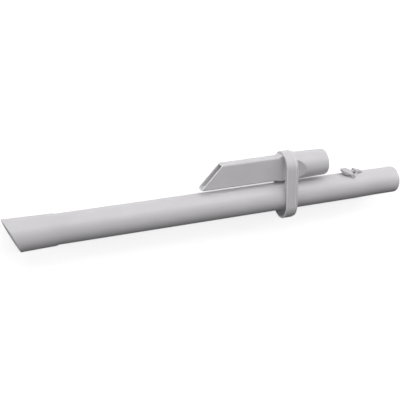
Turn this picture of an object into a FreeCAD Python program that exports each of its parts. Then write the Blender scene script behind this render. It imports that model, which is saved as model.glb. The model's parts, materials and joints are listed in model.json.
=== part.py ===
import FreeCAD, Part
import math
import os

# A vacuum extension wand with a latch on its male end, and a crevice tool kept in a ring holder.
# Millimetres and degrees. Each piece is first made in the wand's own frame: x runs along the wand, with 0 at
# the male tip and the bell at minus x, y points from the wand to the crevice tool, and z to the side that
# lies uppermost when the wand rests on the flank of its holder. place() then lays the whole on z = 0.

# Wand tube
wand_length = 500.0
tube_root_r = 18.0
tube_end_r = 17.1
tube_wall = 2.0
bell_length = 58.0
bell_root_outer_r = 18.9
bell_mouth_outer_r = 20.3
bell_step_length = 3.0
bell_cut_angle = 24.0
bell_bore_r = 16.8
bell_bore_land = 26.0
bell_mouth_bore_r = 17.8
bell_stop_length = 2.0
male_length = 54.0
male_root_r = 16.9
male_root_length = 2.5
male_land_r = 16.5
male_land_length = 28.0
male_bore_r = 14.6
male_bore_ramp = 5.0
male_lead_length = 2.8
male_lead_depth = 1.3
lip_chamfer = 0.4

# Latch on the wand. A lift is a height above the wand's outside at its male end.
pivot_x = -57.2
pin_r = 0.6
pin_end_recess = 0.4
pin_ear_clearance = 0.02
pin_lever_clearance = 0.06
hub_r = 1.4
hub_lift = 1.1
lever_half_width = 4.0
ear_side_clearance = 0.3
ear_thickness = 1.5
ear_head_r = 1.4
ear_foot_half_length = 3.0
thumb_reach = 19.5
thumb_half_width = 11.3
thumb_floor_lift = 2.3
thumb_front_thickness = 3.8
thumb_crest_reach = 12.2
thumb_crest_fall = 0.1
thumb_crown_r = 16.0
thumb_tip_round = 1.6
thumb_back = 5.0
thumb_notch_depth = 2.6
thumb_notch_half_width = 7.2
thumb_roof = 2.1
pocket_slope = 1.6
neck_lift = 1.0
neck_thickness = 1.4
neck_half_width = 2.6
nose_length = 8.0
nose_end_thickness = 2.3
nose_tooth_length = 2.6
nose_tooth_clearance = 0.3
nose_corner = 0.6
spring_reach = 11.3
spring_coil_r = 1.95
spring_wire_r = 0.22
spring_turns = 3.5
spring_steps = 14
spring_wire_sides = 6
spring_gap = 0.1
spring_side_clearance = 0.3
spring_seat_r = 2.7
spring_seat_height = 0.5

# Tool holder, a thin ring with two lobes
holder_x = -160.1
holder_width = 15.1
holder_wall = 2.1
holder_low_wall = 1.2
holder_low_width = 2.8
holder_bevel = 0.6
wand_lobe_r = 18.4
wand_lobe_drop = 8.2
tool_lobe_r = 17.3
tool_seat_clearance = 0.3
cusp_tip_z = 13.2
cusp_tip_y = 23.0
cusp_top_y = 31.0
cusp_foot_y = 12.0
cusp_wall = 1.1
cusp_nose_wall = 1.4
holder_edge_break = 0.5

# Crevice tool
tool_axis_y = 37.7
tool_end_x = -101.8
tool_end_r = 16.1
tool_neck_r = 17.5
tool_neck_x = -162.2
tool_ramp_length = 6.0
tool_ramp_drop = 0.2
tool_lead_length = 2.6
tool_lead_depth = 1.3
tool_wall = 1.8
flat_start_x = -131.5
flat_end_x = -158.0
blade_thickness = 12.5
blade_height = 30.6
blade_edge_round = 2.4
blade_inner_corner = 0.9
mouth_x = -251.9
mouth_slant = 42.9
heel_lift = 0.8
heel_length = 9.0

# Edges nearer than this to a plane lie in it.
same_place = 0.01

bell_root_x = bell_length - wand_length
wand_lobe_outer_r = wand_lobe_r + holder_wall
tool_lobe_outer_r = tool_lobe_r + holder_wall
tool_lobe_y = tool_axis_y + tool_neck_r + tool_seat_clearance - tool_lobe_r
flank_lean = math.asin((wand_lobe_r - tool_lobe_r) / (tool_lobe_y + wand_lobe_drop))
flank_distance = wand_lobe_outer_r - wand_lobe_drop * math.sin(flank_lean)
rest_height = max(flank_distance, bell_mouth_outer_r)
top_y = tool_lobe_y * math.cos(flank_lean) + tool_lobe_outer_r
bottom_y = -wand_lobe_drop * math.cos(flank_lean) - wand_lobe_outer_r
pivot_r = tube_end_r + hub_lift + hub_r
neck_floor_r = tube_end_r + neck_lift
neck_top_r = neck_floor_r + neck_thickness
tooth_r = male_root_r + nose_tooth_clearance
thumb_floor_r = tube_end_r + thumb_floor_lift
thumb_crest_r = thumb_floor_r + thumb_front_thickness
thumb_ceiling_r = thumb_crest_r - thumb_roof
spring_seat_top = tube_end_r + spring_seat_height
flat_slope = (tool_neck_r - blade_thickness / 2) / (flat_start_x - flat_end_x)
ear_inner_z = lever_half_width + ear_side_clearance
ear_outer_z = ear_inner_z + ear_thickness

V = FreeCAD.Vector
ORIGIN = V(0, 0, 0)
ALONG_X = V(1, 0, 0)
ALONG_Y = V(0, 1, 0)
ALONG_Z = V(0, 0, 1)


def face_xy(points):
    """Flat face in the plane z = 0 through (x, y) points."""
    corners = [V(x, y, 0) for x, y in points]
    return Part.Face(Part.makePolygon(corners + corners[:1]))


def lines(points):
    """Straight edges through (x, y) points in the plane z = 0."""
    return [Part.LineSegment(V(*a, 0), V(*b, 0)).toShape() for a, b in zip(points, points[1:])]


def arc(start, middle, end):
    """One edge, an arc through three (x, y) points in the plane z = 0."""
    return Part.Arc(V(*start, 0), V(*middle, 0), V(*end, 0)).toShape()


def turned(profile):
    """Solid of revolution about the x axis."""
    return profile.revolve(ORIGIN, ALONG_X, 360)


def slab(face, half_width):
    """Prism of a face in the plane z = 0, the same distance to both sides."""
    shifted = face.copy()
    shifted.translate(V(0, 0, -half_width))
    return shifted.extrude(V(0, 0, 2 * half_width))


def disc(x, y, r, z_from, z_to):
    """Round bar along z."""
    return Part.makeCylinder(r, z_to - z_from, V(x, y, z_from), ALONG_Z)


def lead_in(x, r, length, depth):
    """Rounded outer corner of a tube's end, an arc tangent to the wall that ends on the end face."""
    round_r = (length**2 + depth**2) / (2 * depth)
    half = math.asin(length / round_r) / 2
    middle = (x - length + round_r * math.sin(half), r - round_r * (1 - math.cos(half)))
    return arc((x - length, r), middle, (x, r - depth))


def wand_shell():
    """Tapered outside of the wand, and a straight duct between the bores of its bell and its male end."""
    land_x = -male_land_length
    root_x = -male_length
    outer_start = [
        (-wand_length, bell_mouth_outer_r),
        (bell_root_x, bell_root_outer_r),
        (bell_root_x + bell_step_length, tube_root_r),
        (root_x - male_root_length, tube_end_r),
        (root_x, male_root_r),
        (land_x, male_land_r),
        (-male_lead_length, male_land_r),
    ]
    tip_r = male_land_r - male_lead_depth
    duct_r = tube_end_r - tube_wall
    land_from = bell_root_x - bell_bore_land
    inner = [
        (0, tip_r),
        (0, male_bore_r + lip_chamfer),
        (-lip_chamfer, male_bore_r),
        (root_x, male_bore_r),
        (root_x - male_bore_ramp, duct_r),
        (bell_root_x + bell_stop_length, duct_r),
        (bell_root_x, bell_bore_r),
        (land_from, bell_bore_r),
        (-wand_length, bell_mouth_bore_r),
        (-wand_length, bell_mouth_outer_r),
    ]
    rim = [lead_in(0, male_land_r, male_lead_length, male_lead_depth)]
    return turned(Part.Face(Part.Wire(lines(outer_start) + rim + lines(inner))))


def bias_cutter():
    """Wedge that slants the bell's mouth, with the long lip on the side of the tool and latch."""
    reach = 2 * bell_mouth_outer_r
    slope = math.tan(math.radians(bell_cut_angle))
    low = -wand_length + (bell_mouth_outer_r + reach) * slope
    high = -wand_length - (reach - bell_mouth_outer_r) * slope
    far = -wand_length - reach
    return slab(face_xy([(far, -reach), (low, -reach), (high, reach), (far, reach)]), reach)


def latch_ears():
    """Two ears on the wand that carry the latch pin, rounded over its ends."""
    foot_y = math.sqrt((tube_end_r - tube_wall / 2) ** 2 - ear_outer_z**2)
    base = face_xy([
        (pivot_x - ear_foot_half_length, foot_y),
        (pivot_x + ear_foot_half_length, foot_y),
        (pivot_x + ear_head_r, pivot_r),
        (pivot_x - ear_head_r, pivot_r),
    ])
    plate = base.extrude(V(0, 0, ear_thickness))
    head = disc(pivot_x, pivot_r, ear_head_r, 0, ear_thickness)
    hole = disc(pivot_x, pivot_r, pin_r + pin_ear_clearance, -ear_thickness, 2 * ear_thickness)
    ear = plate.fuse(head).removeSplitter().cut(hole)
    pair = []
    for z in (ear_inner_z, -ear_outer_z):
        one = ear.copy()
        one.translate(V(0, 0, z))
        pair.append(one)
    return pair


def spring_seat():
    """Low round pad on the wand under the latch spring."""
    foot = V(pivot_x - spring_reach, tube_end_r - tube_wall / 2, 0)
    return Part.makeCylinder(spring_seat_r, spring_seat_top - foot.y, foot, ALONG_Y)


def wand_tube():
    """The wand itself: bell, body, male end, ears and spring seat in one moulding."""
    shell = wand_shell().cut(bias_cutter())
    return shell.fuse(latch_ears() + [spring_seat()]).removeSplitter()


def lever_section():
    """Long section of the latch lever, turned about the wand's axis so that it hugs the wand."""
    tip = pivot_x - thumb_reach
    lip = tip + thumb_tip_round
    crest = pivot_x - thumb_crest_reach
    back = pivot_x - thumb_back
    end = pivot_x + nose_length
    tooth = end - nose_tooth_length
    back_r = neck_top_r + nose_corner
    nose_r = pivot_r + hub_r
    end_r = tooth_r + nose_end_thickness
    pocket_half = spring_coil_r + spring_wire_r + spring_side_clearance
    pocket_left = pivot_x - spring_reach - pocket_half
    pocket_right = pivot_x - spring_reach + pocket_half
    start = (lip, thumb_floor_r)
    shoulder = (lip + thumb_tip_round, thumb_crest_r - thumb_crest_fall)
    front = arc(start, (tip, (thumb_floor_r + thumb_crest_r) / 2), shoulder)
    ramp_middle = ((crest + back) / 2, (thumb_crest_r + back_r) / 2 + nose_corner)
    ramp = arc((crest, thumb_crest_r), ramp_middle, (back, back_r))
    rest = lines([
        (back, back_r),
        (pivot_x - hub_r, neck_top_r),
        (pivot_x, nose_r),
        (pivot_x + hub_r, nose_r),
        (end - nose_corner, end_r),
        (end, end_r - nose_corner),
        (end, tooth_r),
        (tooth, tooth_r),
        (tooth, neck_floor_r),
        (pocket_right + pocket_slope, neck_floor_r),
        (pocket_right, thumb_ceiling_r),
        (pocket_left, thumb_ceiling_r),
        (pocket_left, thumb_floor_r),
        start,
    ])
    return Part.Face(Part.Wire([front] + lines([shoulder, (crest, thumb_crest_r)]) + [ramp] + rest))


def thumb_plan():
    """Plan of the thumb end seen from above it, a rounded front and a notched back edge."""
    back = pivot_x - thumb_back
    notch = back - thumb_notch_depth
    reach = thumb_reach - thumb_back
    oval = Part.Face(Part.Wire(Part.Ellipse(V(back, 0, 0), reach, thumb_half_width).toShape()))
    half = [
        (back - reach, 0),
        (back - reach, thumb_half_width),
        (back, thumb_half_width),
        (notch, thumb_notch_half_width),
        (notch, 0),
    ]
    keep = face_xy(half + [(x, -z) for x, z in half[3:0:-1]])
    plan = oval.common(keep).Faces[0]
    plan.rotate(V(back, 0, 0), ALONG_X, 90)
    return plan.extrude(V(0, 2 * thumb_crest_r, 0))


def latch_lever():
    """Rocking latch: thumb end up, nose down, on the pin between the ears."""
    arch = turned(lever_section())
    neck_left = pivot_x - thumb_back - thumb_notch_depth - pocket_slope
    high = 2 * thumb_crest_r
    neck_corner = V(neck_left, 0, -neck_half_width)
    neck = Part.makeBox(pivot_x - neck_left, high, 2 * neck_half_width, neck_corner)
    nose_side = V(pivot_x, 0, -lever_half_width)
    nose = Part.makeBox(nose_length + nose_corner, high, 2 * lever_half_width, nose_side)
    hub = disc(pivot_x, pivot_r, hub_r, -lever_half_width, lever_half_width)
    hole = disc(pivot_x, pivot_r, pin_r + pin_lever_clearance, -ear_outer_z, ear_outer_z)
    crown_foot = V(pivot_x - 2 * thumb_reach, thumb_crest_r - thumb_crown_r, 0)
    crown = Part.makeCylinder(thumb_crown_r, 2 * thumb_reach, crown_foot, ALONG_X)
    thumb = arch.common(thumb_plan()).common(crown)
    lever = thumb.fuse([arch.common(neck), arch.common(nose), hub])
    return lever.removeSplitter().cut(hole)


def latch_pin():
    """Steel pin through both ears and the lever."""
    half = ear_outer_z - pin_end_recess
    return disc(pivot_x, pivot_r, pin_r, -half, half)


def latch_spring():
    """Small coil that pushes the thumb end up off the wand."""
    bottom = spring_seat_top + spring_gap + spring_wire_r
    ceiling = math.sqrt(thumb_ceiling_r**2 - (spring_coil_r + spring_wire_r) ** 2)
    height = ceiling - spring_gap - spring_wire_r - bottom
    steps = round(spring_turns * spring_steps)
    path = []
    for i in range(steps + 1):
        turn = 2 * math.pi * i / spring_steps
        rise = height * i / steps
        path.append(V(spring_coil_r * math.cos(turn), spring_coil_r * math.sin(turn), rise))
    start = (path[1] - path[0]).normalize()
    across = V(path[0].x, path[0].y, 0).normalize()
    over = start.cross(across)
    ring = []
    for i in range(spring_wire_sides):
        angle = 2 * math.pi * i / spring_wire_sides
        ring.append(path[0] + (across * math.cos(angle) + over * math.sin(angle)) * spring_wire_r)
    wire = Part.makePolygon(ring + ring[:1])
    coil = Part.makePolygon(path).makePipeShell([wire], True, True, 1)
    coil.rotate(ORIGIN, ALONG_X, -90)
    coil.translate(V(pivot_x - spring_reach, bottom, 0))
    return coil


def lobed_outline(grow):
    """Outline of two lobes and their common tangents in the plane x = 0, grown from the inner wall."""
    low_r = wand_lobe_r + grow
    high_r = tool_lobe_r + grow
    low = V(0, -wand_lobe_drop, 0)
    high = V(0, tool_lobe_y, 0)
    side = V(0, math.sin(flank_lean), math.cos(flank_lean))
    mirror = V(0, side.y, -side.z)
    edges = [
        Part.LineSegment(low + side * low_r, high + side * high_r).toShape(),
        Part.Arc(high + side * high_r, high + ALONG_Y * high_r, high + mirror * high_r).toShape(),
        Part.LineSegment(high + mirror * high_r, low + mirror * low_r).toShape(),
        Part.Arc(low + mirror * low_r, low - ALONG_Y * low_r, low + side * low_r).toShape(),
    ]
    return Part.Wire(edges)


def rim_edges(shape, x):
    """Edges of the outer rim of a band at one x."""
    low = x - same_place
    high = x + same_place
    return [e for e in shape.Edges if e.BoundBox.XMin > low and e.BoundBox.XMax < high]


def holder_band():
    """Thin ring round both lobes: a full band, a bevel and a lower band at its right edge."""
    band_width = holder_width - holder_low_width
    band = Part.Face(lobed_outline(holder_wall)).extrude(V(band_width, 0, 0))
    band = band.makeChamfer(holder_bevel, holder_wall - holder_low_wall, rim_edges(band, band_width))
    band = band.makeChamfer(holder_edge_break, rim_edges(band, 0))
    lower = Part.Face(lobed_outline(holder_low_wall)).extrude(V(holder_width, 0, 0))
    lower = lower.makeChamfer(holder_edge_break, rim_edges(lower, holder_width))
    return band.fuse(lower).removeSplitter()


def cusp(side):
    """Thin folded web on one flank that stands into the waist between wand and tool."""
    reach = wand_lobe_r + holder_wall / 2
    outer = [
        V(0, cusp_foot_y, side * reach),
        V(0, cusp_tip_y, side * cusp_tip_z),
        V(0, cusp_top_y, side * reach),
    ]
    inner = [
        V(0, cusp_foot_y + cusp_wall, side * reach),
        V(0, cusp_tip_y, side * (cusp_tip_z + cusp_nose_wall)),
        V(0, cusp_top_y - cusp_wall, side * reach),
    ]
    wedge = Part.Face(Part.makePolygon(outer + outer[:1])).extrude(V(holder_width, 0, 0))
    pocket = Part.Face(Part.makePolygon(inner + inner[:1])).extrude(V(holder_width, 0, 0))
    return wedge.cut(pocket)


def tool_holder():
    """Ring that goes round the wand and the tool, open through both lobes, with a cusp on each flank."""
    inside = Part.Face(lobed_outline(0)).extrude(V(holder_width, 0, 0))
    band = holder_band().cut(inside)
    limit = Part.Face(lobed_outline(holder_low_wall / 2)).extrude(V(holder_width, 0, 0))
    webs = [cusp(side).common(limit) for side in (1, -1)]
    ring = band.fuse(webs).removeSplitter()
    ring.translate(V(holder_x, 0, 0))
    return ring


def tool_round(inset):
    """Round end and neck of the crevice tool, turned about its own axis, or its bore, inset by the wall."""
    ramp_x = tool_neck_x - tool_ramp_length
    ramp_r = blade_height / 2 - tool_ramp_drop - inset
    neck_r = tool_neck_r - inset
    end_r = tool_end_r - inset
    start = [(tool_end_x, 0), (ramp_x, 0), (ramp_x, ramp_r), (tool_neck_x, neck_r)]
    if inset:
        return turned(face_xy(start + [(tool_end_x, end_r)]))
    land_r = end_r + (neck_r - end_r) * tool_lead_length / (tool_end_x - tool_neck_x)
    before = lines(start + [(tool_end_x - tool_lead_length, land_r)])
    rim = lead_in(tool_end_x, land_r, tool_lead_length, tool_lead_depth)
    after = lines([(tool_end_x, land_r - tool_lead_depth), (tool_end_x, 0)])
    return turned(Part.Face(Part.Wire(before + [rim] + after)))


def tool_wedge(inset):
    """Plan shape of the tool's neck, its two slanted flats narrowing to the blade."""
    wide = 2 * tool_neck_r
    neck = blade_thickness / 2 - inset
    run = (wide - neck) / flat_slope
    left = tool_neck_x - 2 * tool_ramp_length
    right = max(flat_end_x + run, tool_end_x + tool_wall)
    side = [(left, neck), (flat_end_x, neck), (flat_end_x + run, wide), (right, wide)]
    mirrored = [(x, -z) for x, z in reversed(side)]
    corners = [V(x, -wide, z) for x, z in side + mirrored]
    return Part.Face(Part.makePolygon(corners + corners[:1])).extrude(V(0, 2 * wide, 0))


def tool_underside(inset):
    """Side shape of the tool's neck, whose lower side runs level from the blade, then falls away."""
    wide = 2 * tool_neck_r
    level = blade_height / 2 - inset
    left = tool_neck_x - 2 * tool_ramp_length
    right = tool_end_x + tool_wall
    fall_end = flat_end_x + (wide - level) / flat_slope
    side = face_xy([
        (left, -level),
        (flat_end_x, -level),
        (fall_end, -wide),
        (right, -wide),
        (right, wide),
        (left, wide),
    ])
    return slab(side, wide)


def blade_side(inset, reach):
    """Side outline of the blade: slanted mouth, straight top and a heel that lifts near the mouth."""
    half = blade_height / 2 - inset
    slope = math.tan(math.radians(mouth_slant))
    top_x = mouth_x + half * slope - reach
    foot_y = -half + heel_lift
    foot_x = mouth_x + foot_y * slope - reach
    heel_x = mouth_x - half * slope + heel_length
    middle = ((heel_x + foot_x) / 2, -half + heel_lift / 4)
    heel = arc((foot_x, foot_y), middle, (heel_x, -half))
    rest = lines([
        (heel_x, -half),
        (flat_start_x, -half),
        (flat_start_x, half),
        (top_x, half),
        (foot_x, foot_y),
    ])
    return Part.Face(Part.Wire([heel] + rest))


def blade(inset, reach, edge_round):
    """Flat blade, rounded along its long edges."""
    half = blade_thickness / 2 - inset
    body = slab(blade_side(inset, reach), half)
    top = blade_height / 2 - inset
    long_edges = []
    for e in body.Edges:
        c = e.CenterOfMass
        on_side = abs(abs(c.z) - half) < same_place
        on_rim = c.y > top - same_place or c.y < heel_lift / 2 - top
        if on_side and on_rim:
            long_edges.append(e)
    if inset:
        return body.makeChamfer(edge_round, long_edges)
    return body.makeFillet(edge_round, long_edges)


def crevice_tool():
    """Crevice tool: round tapered end, neck with two slanted flats, flat blade and slanted slot mouth."""
    wide = 2 * tool_neck_r
    far_x = mouth_x - blade_height
    skin = tool_wall / 2
    within = turned(face_xy([
        (far_x, 0),
        (far_x, wide),
        (tool_neck_x, wide),
        (tool_neck_x, tool_neck_r - skin),
        (flat_start_x, tool_end_r - skin),
        (flat_start_x, 0),
    ]))
    neck = tool_round(0).common(tool_wedge(0)).common(tool_underside(0))
    body = neck.fuse(blade(0, 0, blade_edge_round).common(within)).removeSplitter()
    bore = tool_round(tool_wall).common(tool_wedge(tool_wall)).common(tool_underside(tool_wall))
    slot = blade(tool_wall, 4 * tool_wall, blade_inner_corner).common(within)
    round_mouth = Part.makeCylinder(tool_end_r - tool_wall, tool_wall, V(tool_end_x - skin, 0, 0), ALONG_X)
    tool = body.cut(bore).cut(slot).cut(round_mouth)
    tool.translate(V(0, tool_axis_y, 0))
    return tool


def place(shape):
    """Turn the holder's lower flank level and set it on z = 0, with the part's box centred on the origin."""
    shape.rotate(ORIGIN, ALONG_X, -math.degrees(flank_lean))
    shape.translate(V(wand_length / 2, -(top_y + bottom_y) / 2, rest_height))
    return shape


PARTS = {
    "wand_tube": wand_tube,
    "latch_lever": latch_lever,
    "latch_pin": latch_pin,
    "latch_spring": latch_spring,
    "tool_holder": tool_holder,
    "crevice_tool": crevice_tool,
}


def main():
    os.makedirs("parts", exist_ok=True)
    for name, make in PARTS.items():
        shape = place(make())
        shape.exportStep(os.path.join("parts", name + ".step"))
        state = "valid" if shape.isValid() else "NOT VALID"
        print(name, state, len(shape.Solids), "solid", round(shape.Volume, 1), shape.BoundBox)


main()
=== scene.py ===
import json
import math

import bmesh
import bpy
from mathutils import Matrix, Vector


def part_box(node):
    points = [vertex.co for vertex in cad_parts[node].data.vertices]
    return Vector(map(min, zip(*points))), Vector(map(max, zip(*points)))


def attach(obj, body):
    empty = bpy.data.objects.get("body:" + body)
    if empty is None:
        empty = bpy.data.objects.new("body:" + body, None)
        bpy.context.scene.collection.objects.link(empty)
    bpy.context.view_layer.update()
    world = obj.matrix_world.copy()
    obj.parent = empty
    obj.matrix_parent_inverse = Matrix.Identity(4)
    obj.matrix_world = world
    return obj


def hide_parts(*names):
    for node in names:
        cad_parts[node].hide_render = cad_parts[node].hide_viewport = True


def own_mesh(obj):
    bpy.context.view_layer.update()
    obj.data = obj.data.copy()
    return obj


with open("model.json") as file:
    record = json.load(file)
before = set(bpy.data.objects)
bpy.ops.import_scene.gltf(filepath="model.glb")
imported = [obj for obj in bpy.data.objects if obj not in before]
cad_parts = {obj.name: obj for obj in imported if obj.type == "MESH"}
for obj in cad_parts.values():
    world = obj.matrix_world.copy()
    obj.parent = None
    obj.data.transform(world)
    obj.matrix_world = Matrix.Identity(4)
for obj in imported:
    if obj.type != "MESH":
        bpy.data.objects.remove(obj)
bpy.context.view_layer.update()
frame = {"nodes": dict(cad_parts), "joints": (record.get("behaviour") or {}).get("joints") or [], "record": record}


# Camera. The photograph looks down on the wand as it lies on the flank of its holder, from the bell's side,
# through a moderately long lens. Place and turn come from the outlines of the wand, the tool and the ring.
film_width_mm = 36.0
lens_mm = 84.285
camera_reach = 20.0
camera_place = Vector((-0.3694, 0.46501, 0.97031))
camera_right = Vector((0.93824, 0.0082, 0.34589))
camera_back = Vector((-0.31712, 0.42014, 0.85025))
camera_up = camera_back.cross(camera_right)

camera_data = bpy.data.cameras.new("camera")
camera_data.sensor_width = film_width_mm
camera_data.lens = lens_mm
camera_data.clip_end = camera_reach
camera = bpy.data.objects.new("camera", camera_data)
bpy.context.scene.collection.objects.link(camera)
camera_turn = Matrix((camera_right, camera_up, camera_back)).transposed().to_4x4()
camera.matrix_world = Matrix.Translation(camera_place) @ camera_turn
bpy.context.scene.camera = camera
bpy.context.scene.view_settings.view_transform = "Standard"


# Wand. One long moulding in light grey polypropylene, blown and sized so that its skin is a soft satin with
# a very fine grain. The bell, the body, the male end, the latch's ears and the spring's seat are all of it.
def linear(text):
    """sRGB hex colour turned to linear values with full alpha."""
    parts = [int(text[i:i + 2], 16) / 255 for i in (1, 3, 5)]
    return [c / 12.92 if c <= 0.04045 else ((c + 0.055) / 1.055) ** 2.4 for c in parts] + [1.0]


def add(tree, kind, values=None, links=None, **settings):
    """Adds one node, with its settings, the values of its inputs, and links into them. An input goes by its
    name, or by its number where the node gives several the same name."""
    node = tree.nodes.new(kind)
    for name, value in settings.items():
        setattr(node, name, value)
    for name, value in (values or {}).items():
        node.inputs[name].default_value = value
    for name, source in (links or {}).items():
        tree.links.new(source, node.inputs[name])
    return node


# Moulded polypropylene gives broad soft highlights on a faintly cloudy grey. The mould's grain is too fine
# to show, at about 0.1 mm, and is drawn 0.35 mm wide. The edges get a painted highlight: their colour is
# mixed towards white where rounded edges would catch light.
plastic_ior = 1.49
plastic_rough_from = 0.27
plastic_rough_to = 0.35
grain_mm = 0.35
grain_strength = 0.06
grain_depth = 0.00004
cloud_from = 0.3
cloud_to = 0.7
# Painted edge highlight: its pale colour, the width it is rounded over, where its mask starts and is full.
edge_highlight_colour = "#FFFFFF"
edge_highlight_width = 0.0014
edge_highlight_starts = 0.98
edge_highlight_full = 0.86
edge_highlight_samples = 8


def moulded_plastic(name, light, dark, edge_highlight_share, cloud_mm):
    """Light grey polypropylene: a satin grain, a faint cloudiness in its colour, and a painted edge highlight."""
    material = bpy.data.materials.new(name)
    material.use_nodes = True
    tree = material.node_tree
    tree.nodes.clear()
    place = add(tree, "ShaderNodeTexCoord").outputs["Object"]
    cloud = add(tree, "ShaderNodeTexNoise", {"Scale": 1000 / cloud_mm, "Detail": 3.0, "Roughness": 0.55},
                {"Vector": place})
    tint = add(tree, "ShaderNodeValToRGB", links={"Fac": cloud.outputs["Fac"]})
    tint.color_ramp.elements[0].position = cloud_from
    tint.color_ramp.elements[0].color = linear(dark)
    tint.color_ramp.elements[1].position = cloud_to
    tint.color_ramp.elements[1].color = linear(light)
    # The painted edge highlight falls where the normal, rounded over its width, leaves the face's own.
    face = add(tree, "ShaderNodeNewGeometry")
    rounded = add(tree, "ShaderNodeBevel", {"Radius": edge_highlight_width}, samples=edge_highlight_samples)
    likeness = add(tree, "ShaderNodeVectorMath", operation="DOT_PRODUCT",
                   links={0: face.outputs["Normal"], 1: rounded.outputs["Normal"]})
    rim = add(tree, "ShaderNodeMapRange", links={"Value": likeness.outputs["Value"]},
              values={"From Min": edge_highlight_starts, "From Max": edge_highlight_full, "To Max": edge_highlight_share})
    # Inputs 6 and 7 of the mix are its two colours, and output 2 is the mixed one: the tint with the pale
    # painted edge highlight over it.
    tint_with_edge_highlight = add(tree, "ShaderNodeMix", {7: linear(edge_highlight_colour)},
                 {0: rim.outputs["Result"], 6: tint.outputs["Color"]}, data_type="RGBA")
    grain = add(tree, "ShaderNodeTexNoise", {"Scale": 1000 / grain_mm, "Detail": 2.0, "Roughness": 0.5},
                {"Vector": place})
    sheen = add(tree, "ShaderNodeMapRange", {"To Min": plastic_rough_from, "To Max": plastic_rough_to},
                {"Value": grain.outputs["Fac"]})
    bump = add(tree, "ShaderNodeBump", {"Strength": grain_strength, "Distance": grain_depth},
               {"Height": grain.outputs["Fac"]})
    skin = add(tree, "ShaderNodeBsdfPrincipled", {"IOR": plastic_ior}, {
        "Base Color": tint_with_edge_highlight.outputs[2], "Roughness": sheen.outputs["Result"],
        "Normal": bump.outputs["Normal"]})
    add(tree, "ShaderNodeOutputMaterial", links={"Surface": skin.outputs["BSDF"]})
    return material


def dress(node, material):
    """Gives every material slot of a frame node one material."""
    for slot in frame["nodes"][node].material_slots:
        slot.material = material


# The wand's edges get half of the painted edge highlight.
wand_plastic = moulded_plastic("satin_polypropylene_wand", "#DBD9DC", "#D5D3D6",
                               edge_highlight_share=0.5, cloud_mm=40.0)

# The bell's mouth is cut on the bias, and the cut is turned a little round the wand towards the floor, so
# that the mouth shows as a thin dark crescent. Its rims are rounded where the mould's edge was.
axis_y, axis_z = frame["record"]["mounts"][0]["pos_m"][1:]
mouth_x = -0.25
bell_length = 0.058
bell_land = 0.026
bell_root_x = mouth_x + bell_length
bell_root_r = 0.0189
bell_mouth_r = 0.0203
bell_bore_r = 0.0168
bell_bore_mouth_r = 0.0178
bell_wall_middle_r = (bell_root_r + bell_bore_r) / 2
mouth_slope = math.tan(math.radians(23.5))
mouth_turn = math.radians(-18.0)
rim_round = 0.0005
rim_turns_deg = (0, 30, 60, 90)
same_point = 0.000001
same_place = 0.0001
wand_edge_deg = 14.0


def mouth_cut(y, z):
    """Place along the wand where the bias cut meets a point of the bell, given from the wand's axis."""
    toward_lip = y * math.cos(mouth_turn) + z * math.sin(mouth_turn)
    return mouth_x + mouth_slope * (bell_mouth_r - toward_lip)


def rim_row(y, z, side, step):
    """Rounded rim at the bias cut, for steps 1 to 4. Side is -1 where it turns in and 1 where out."""
    turn = math.radians(rim_turns_deg[step - 1])
    spread = 1 + side * rim_round * (1 - math.cos(turn)) / math.hypot(y, z)
    return Vector((mouth_cut(y, z) + rim_round * (1 - math.sin(turn)), y * spread, z * spread))


def outer_row(y, z, step):
    """Outside of the bell, halfway to the mouth at step 0 and then round its rim."""
    r = math.hypot(y, z)
    flare = (bell_root_x - mouth_cut(y, z)) / bell_length
    end_r = bell_root_r + (bell_mouth_r - bell_root_r) * flare
    y, z = y * end_r / r, z * end_r / r
    if step == 0:
        halfway = (bell_root_r / end_r + 1) / 2
        return Vector(((bell_root_x + mouth_cut(y, z)) / 2, y * halfway, z * halfway))
    return rim_row(y, z, -1, step)


def inner_row(y, z, step):
    """Bore of the bell, at the end of its land at step 0 and then round its rim."""
    if step == 0:
        return Vector((bell_root_x - bell_land, y, z))
    r = math.hypot(y, z)
    return rim_row(y * bell_bore_mouth_r / r, z * bell_bore_mouth_r / r, 1, step)


def join_rims(bm, outside, inside):
    """Strip of triangles between two loops of points round the wand, taken in the order of their angles."""
    def angle(v):
        return math.atan2(v.co.z - axis_z, v.co.y - axis_y)

    def angle_at(rim, k):
        return angle(rim[k % len(rim)]) + 2 * math.pi * (k // len(rim))

    outside.sort(key=angle)
    inside.sort(key=angle)
    i = j = 0
    while i < len(outside) or j < len(inside):
        a, b = outside[i % len(outside)], inside[j % len(inside)]
        if j == len(inside) or (i < len(outside) and angle_at(outside, i + 1) < angle_at(inside, j + 1)):
            i += 1
            bm.faces.new((a, outside[i % len(outside)], b))
        else:
            j += 1
            bm.faces.new((a, inside[j % len(inside)], b))


def draw_bell_again(bm):
    """Takes the bell off the wand's mesh and draws it again from the two loops of edges at its root."""
    bell_faces = [f for f in bm.faces if f.calc_center_median().x < bell_root_x - same_place]
    bmesh.ops.delete(bm, geom=bell_faces, context="FACES")
    root = [e for e in bm.edges if e.is_boundary and abs(e.verts[0].co.x - bell_root_x) < same_place]
    outer = [e for e in root
             if math.hypot(e.verts[0].co.y - axis_y, e.verts[0].co.z - axis_z) > bell_wall_middle_r]
    inner = [e for e in root if e not in outer]
    steps = len(rim_turns_deg) + 1
    rims = []
    for edges, row_of in ((outer, outer_row), (inner, inner_row)):
        rows = {}
        for v in dict.fromkeys(v for e in edges for v in e.verts):
            y, z = v.co.y - axis_y, v.co.z - axis_z
            places = [row_of(y, z, k) + Vector((0, axis_y, axis_z)) for k in range(steps)]
            rows[v] = [v] + [bm.verts.new(place) for place in places]
        for e in edges:
            a, b = rows[e.verts[0]], rows[e.verts[1]]
            for k in range(steps):
                bm.faces.new((a[k], b[k], b[k + 1], a[k + 1]))
        rims.append([row[-1] for row in rows.values()])
    join_rims(bm, *rims)


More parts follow.
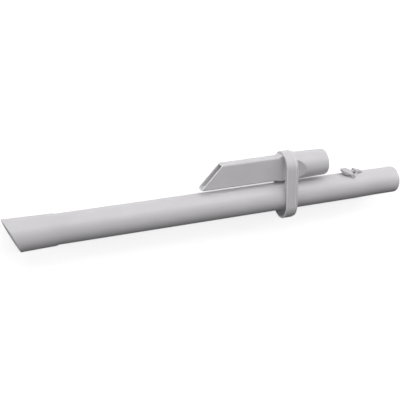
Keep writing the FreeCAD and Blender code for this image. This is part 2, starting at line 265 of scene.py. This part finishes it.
bm = bmesh.new()
bm.from_mesh(frame["nodes"]["wand_tube"].data)
bmesh.ops.remove_doubles(bm, verts=bm.verts[:], dist=same_point)
draw_bell_again(bm)
bmesh.ops.recalc_face_normals(bm, faces=bm.faces[:])
wand_mesh = bpy.data.meshes.new("wand_with_bias_mouth")
bm.to_mesh(wand_mesh)
bm.free()
wand_mesh.shade_smooth()
wand_mesh.set_sharp_from_angle(angle=math.radians(wand_edge_deg))
wand_mesh.materials.append(wand_plastic)
wand = bpy.data.objects.new("wand_with_bias_mouth", wand_mesh)
bpy.context.scene.collection.objects.link(wand)
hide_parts("wand_tube")
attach(wand, "wand")


# Crevice tool. An injection moulded duct in the same grey. Its round end plugs into the bell, and it stands
# in the upper lobe of the holder. All of its edges get the full painted edge highlight.
dress("crevice_tool", moulded_plastic("satin_polypropylene_tool", "#DAD8DB", "#D4D2D5",
                                      edge_highlight_share=1.0, cloud_mm=30.0))


# Holder. A thin moulded ring in the same grey that is pushed over the wand and grips it lightly. Its folded
# cusps on both flanks keep the tool from turning.
# All of its edges get the full painted edge highlight.
dress("tool_holder", moulded_plastic("satin_polypropylene_holder", "#D9D7DA", "#D3D1D4",
                                     edge_highlight_share=1.0, cloud_mm=20.0))


# Latch lever. A small moulding in the same plastic, a shade darker than the rest and with no painted edge
# highlight. It rocks on its pin, and its nose locks the wand to the next piece.
dress("latch_lever", moulded_plastic("satin_polypropylene_latch", "#CFCDD0", "#C9C7CA",
                                     edge_highlight_share=0.0, cloud_mm=12.0))


# Latch pin. A short length of drawn steel wire, pushed through the lever with its ends in the wand's ears.
# Drawn steel gives a small hard glint. Its draw marks are too fine to show, and are drawn 0.25 mm wide.
draw_mark_mm = 0.25
wire_rough_less = 0.05
wire_rough_more = 0.08


def drawn_wire(name, colour, roughness):
    """Bright drawn steel wire, with faint draw marks in its gloss."""
    material = bpy.data.materials.new(name)
    material.use_nodes = True
    tree = material.node_tree
    tree.nodes.clear()
    place = add(tree, "ShaderNodeTexCoord").outputs["Object"]
    marks = add(tree, "ShaderNodeTexNoise", {"Scale": 1000 / draw_mark_mm, "Detail": 2.0},
                {"Vector": place})
    gloss = add(tree, "ShaderNodeMapRange", links={"Value": marks.outputs["Fac"]},
                values={"To Min": roughness - wire_rough_less, "To Max": roughness + wire_rough_more})
    steel = add(tree, "ShaderNodeBsdfPrincipled", {"Base Color": linear(colour), "Metallic": 1.0},
                {"Roughness": gloss.outputs["Result"]})
    add(tree, "ShaderNodeOutputMaterial", links={"Surface": steel.outputs["BSDF"]})
    return material


dress("latch_pin", drawn_wire("drawn_steel_pin", "#C4C6CA", 0.3))


# Latch spring. A small coil wound from round steel wire, which stands on its seat on the wand and lifts the
# lever's lip.
hinge = [joint for joint in frame["joints"] if joint["name"] == "latch_hinge"][0]
wand_line = Vector((1, 0, 0))
spring_axis = Vector(hinge["axis"]).cross(wand_line)
spring_low, spring_high = (Vector(corner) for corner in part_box("latch_spring"))
spring_width = spring_high.x - spring_low.x
# The spring leans a little with the wand, which adds a share of its width to the height of its box.
spring_length = spring_high.y - spring_low.y - spring_width * abs(spring_axis.z)
spring_turns = 3.5
wire_r = 0.00022
steps_per_turn = 28
wire_sides = 10
spring_edge_deg = 50.0
coil_sizes = {"Turns": spring_turns, "Coil radius": spring_width / 2 - wire_r, "Wire radius": wire_r,
              "Height": spring_length - 2 * wire_r}

winding = bpy.data.node_groups.new("wound_coil", "GeometryNodeTree")
winding.interface.new_socket("Geometry", in_out="OUTPUT", socket_type="NodeSocketGeometry")
for size_name in coil_sizes:
    winding.interface.new_socket(size_name, in_out="INPUT", socket_type="NodeSocketFloat")
sizes = add(winding, "NodeGroupInput").outputs
helix = add(winding, "GeometryNodeCurveSpiral", {"Resolution": steps_per_turn}, {
    "Rotations": sizes["Turns"], "Start Radius": sizes["Coil radius"], "End Radius": sizes["Coil radius"],
    "Height": sizes["Height"]})
wire = add(winding, "GeometryNodeCurvePrimitiveCircle", {"Resolution": wire_sides},
           {"Radius": sizes["Wire radius"]})
drawn = add(winding, "GeometryNodeCurveToMesh", {"Fill Caps": True}, {
    "Curve": helix.outputs["Curve"], "Profile Curve": wire.outputs["Curve"]})
real = add(winding, "GeometryNodeRealizeInstances", links={"Geometry": drawn.outputs["Mesh"]})
spring_steel = drawn_wire("spring_steel_wire", "#A9ABAF", 0.32)
steel = add(winding, "GeometryNodeSetMaterial", {"Material": spring_steel}, {
    "Geometry": real.outputs["Geometry"]})
add(winding, "NodeGroupOutput", links={"Geometry": steel.outputs["Geometry"]})

bare_coil = bpy.data.objects.new("bare_coil", bpy.data.meshes.new("bare_coil"))
bpy.context.scene.collection.objects.link(bare_coil)
wound = bare_coil.modifiers.new("winding", "NODES")
wound.node_group = winding
for socket in winding.interface.items_tree:
    if socket.in_out == "INPUT":
        wound[socket.identifier] = coil_sizes[socket.name]
finished_coil = bare_coil.evaluated_get(bpy.context.evaluated_depsgraph_get())
coil_mesh = bpy.data.meshes.new_from_object(finished_coil)
bpy.data.objects.remove(bare_coil)

# The coil is wound from its foot on the seat, which lies half its height from the spring's middle.
coil_foot = (spring_low + spring_high) / 2 - spring_axis * (coil_sizes["Height"] / 2)
coil_turn = Matrix((wand_line, spring_axis.cross(wand_line), spring_axis)).transposed().to_4x4()
coil_mesh.transform(Matrix.Translation(coil_foot) @ coil_turn)
coil_mesh.shade_smooth()
coil_mesh.set_sharp_from_angle(angle=math.radians(spring_edge_deg))
spring = bpy.data.objects.new("wound_latch_spring", coil_mesh)
bpy.context.scene.collection.objects.link(spring)
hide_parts("latch_spring")
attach(spring, "wand")
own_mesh(spring)


# Floor. Matt paper, white behind the wand and dark in front, which keeps its underside dark as in the
# photograph. Gloss on the wand shows the white part as a bright sheet. The camera sees white paper all
# over, which keeps the soft shadow near the wand and fades to plain white.
paper_dark = "#505050"
paper_white = "#F2F2F3"
paper_change_from = -0.04
paper_change_to = 0.0
plain_white = (1.0, 1.0, 1.0, 1.0)
glow_near = 0.66
glow_far = 1.0
shadow_from = 0.3
shadow_to = 0.6
shadow_squeeze = (0.6, 1.0, 1.0)
floor_half = 4.0

floor_mesh = bpy.data.meshes.new("floor")
floor_corners = [(-floor_half, -floor_half, 0), (floor_half, -floor_half, 0),
                 (floor_half, floor_half, 0), (-floor_half, floor_half, 0)]
floor_mesh.from_pydata(floor_corners, [], [(0, 1, 2, 3)])
floor = bpy.data.objects.new("floor", floor_mesh)
bpy.context.scene.collection.objects.link(floor)
paper = bpy.data.materials.new("matt_paper_floor")
paper.use_nodes = True
tree = paper.node_tree
tree.nodes.clear()
rays = add(tree, "ShaderNodeLightPath")
place = add(tree, "ShaderNodeTexCoord")
across = add(tree, "ShaderNodeSeparateXYZ", links={"Vector": place.outputs["Object"]})
behind = add(tree, "ShaderNodeMapRange", {"From Min": paper_change_from, "From Max": paper_change_to},
             {"Value": across.outputs["Y"]}, interpolation_type="SMOOTHSTEP")
tone = add(tree, "ShaderNodeValToRGB", links={"Fac": behind.outputs["Result"]})
tone.color_ramp.elements[0].color = linear(paper_dark)
tone.color_ramp.elements[1].color = linear(paper_white)
matt = add(tree, "ShaderNodeBsdfDiffuse", links={"Color": tone.outputs["Color"]})
mirrored = add(tree, "ShaderNodeMath", operation="MULTIPLY",
               links={0: rays.outputs["Is Glossy Ray"], 1: behind.outputs["Result"]})
sheet = add(tree, "ShaderNodeEmission", {"Color": plain_white, "Strength": 1.0})
unseen = add(tree, "ShaderNodeMixShader", links={
    "Fac": mirrored.outputs["Value"], 1: matt.outputs["BSDF"], 2: sheet.outputs["Emission"]})

# The shadow fades with the distance from the middle, and the wand's line counts less for it.
squeezed = add(tree, "ShaderNodeVectorMath", {1: shadow_squeeze}, {0: place.outputs["Object"]},
               operation="MULTIPLY")
away = add(tree, "ShaderNodeVectorMath", links={"Vector": squeezed.outputs["Vector"]}, operation="LENGTH")
glow = add(tree, "ShaderNodeMapRange",
           {"From Min": shadow_from, "From Max": shadow_to, "To Min": glow_near, "To Max": glow_far},
           {"Value": away.outputs["Value"]}, interpolation_type="SMOOTHSTEP")
lit = add(tree, "ShaderNodeEmission", {"Color": plain_white}, {"Strength": glow.outputs["Result"]})
shadowed = add(tree, "ShaderNodeBsdfDiffuse", {"Color": linear(paper_white)})
seen = add(tree, "ShaderNodeAddShader", links={0: lit.outputs["Emission"], 1: shadowed.outputs["BSDF"]})
whole = add(tree, "ShaderNodeMixShader", links={
    "Fac": rays.outputs["Is Camera Ray"], 1: unseen.outputs["Shader"], 2: seen.outputs["Shader"]})
add(tree, "ShaderNodeOutputMaterial", links={"Surface": whole.outputs["Shader"]})
floor_mesh.materials.append(paper)


# Lamps. Large soft lamps stand round the wand, strongest behind it and at the bell's end, in a white tent
# that the camera sees as plain white and that adds only a weak fill. The two end lamps leave no glint.
tent_fill = 0.06
tent_seen = 1.0
lamp_distance = 1.6

world = bpy.data.worlds.new("white_tent")
bpy.context.scene.world = world
world.use_nodes = True
tree = world.node_tree
tree.nodes.clear()
rays = add(tree, "ShaderNodeLightPath")
fill = add(tree, "ShaderNodeBackground", {"Color": plain_white, "Strength": tent_fill})
backdrop = add(tree, "ShaderNodeBackground", {"Color": plain_white, "Strength": tent_seen})
tent = add(tree, "ShaderNodeMixShader", links={
    "Fac": rays.outputs["Is Camera Ray"], 1: fill.outputs["Background"],
    2: backdrop.outputs["Background"]})
add(tree, "ShaderNodeOutputWorld", links={"Surface": tent.outputs["Shader"]})


def soft_lamp(name, toward, width, height, power, in_gloss=True):
    """Large area lamp in a direction from the object, facing it. Width lies along the wand."""
    data = bpy.data.lights.new(name, "AREA")
    data.shape = "RECTANGLE"
    data.size = width
    data.size_y = height
    data.energy = power
    lamp = bpy.data.objects.new(name, data)
    bpy.context.scene.collection.objects.link(lamp)
    lamp.visible_glossy = in_gloss
    out = Vector(toward).normalized()
    lamp_turn = out.to_track_quat("Z", "Y").to_matrix().to_4x4()
    lamp.matrix_world = Matrix.Translation(out * lamp_distance) @ lamp_turn


soft_lamp("lamp_behind_low", (0.0, 0.970, 0.242), 1.9, 0.8, 6.1)
soft_lamp("lamp_behind", (0.0, 0.809, 0.588), 1.9, 0.4, 7.8)
soft_lamp("lamp_above", (0.0, 0.438, 0.899), 1.9, 0.4, 2.7)
soft_lamp("lamp_front", (0.0, -0.375, 0.927), 1.9, 0.4, 1.9)
soft_lamp("lamp_right_high", (0.819, 0.369, 0.439), 0.9, 0.7, 5.1)
soft_lamp("lamp_right_low", (0.819, 0.554, 0.148), 0.9, 0.7, 4.2)
soft_lamp("lamp_left_low", (-0.819, 0.554, 0.148), 0.9, 0.7, 1.0)
soft_lamp("lamp_left_end", (-0.990, 0.070, 0.121), 0.9, 0.9, 11.6, in_gloss=False)
soft_lamp("lamp_right_end", (0.990, 0.070, 0.121), 0.9, 0.9, 0.8, in_gloss=False)
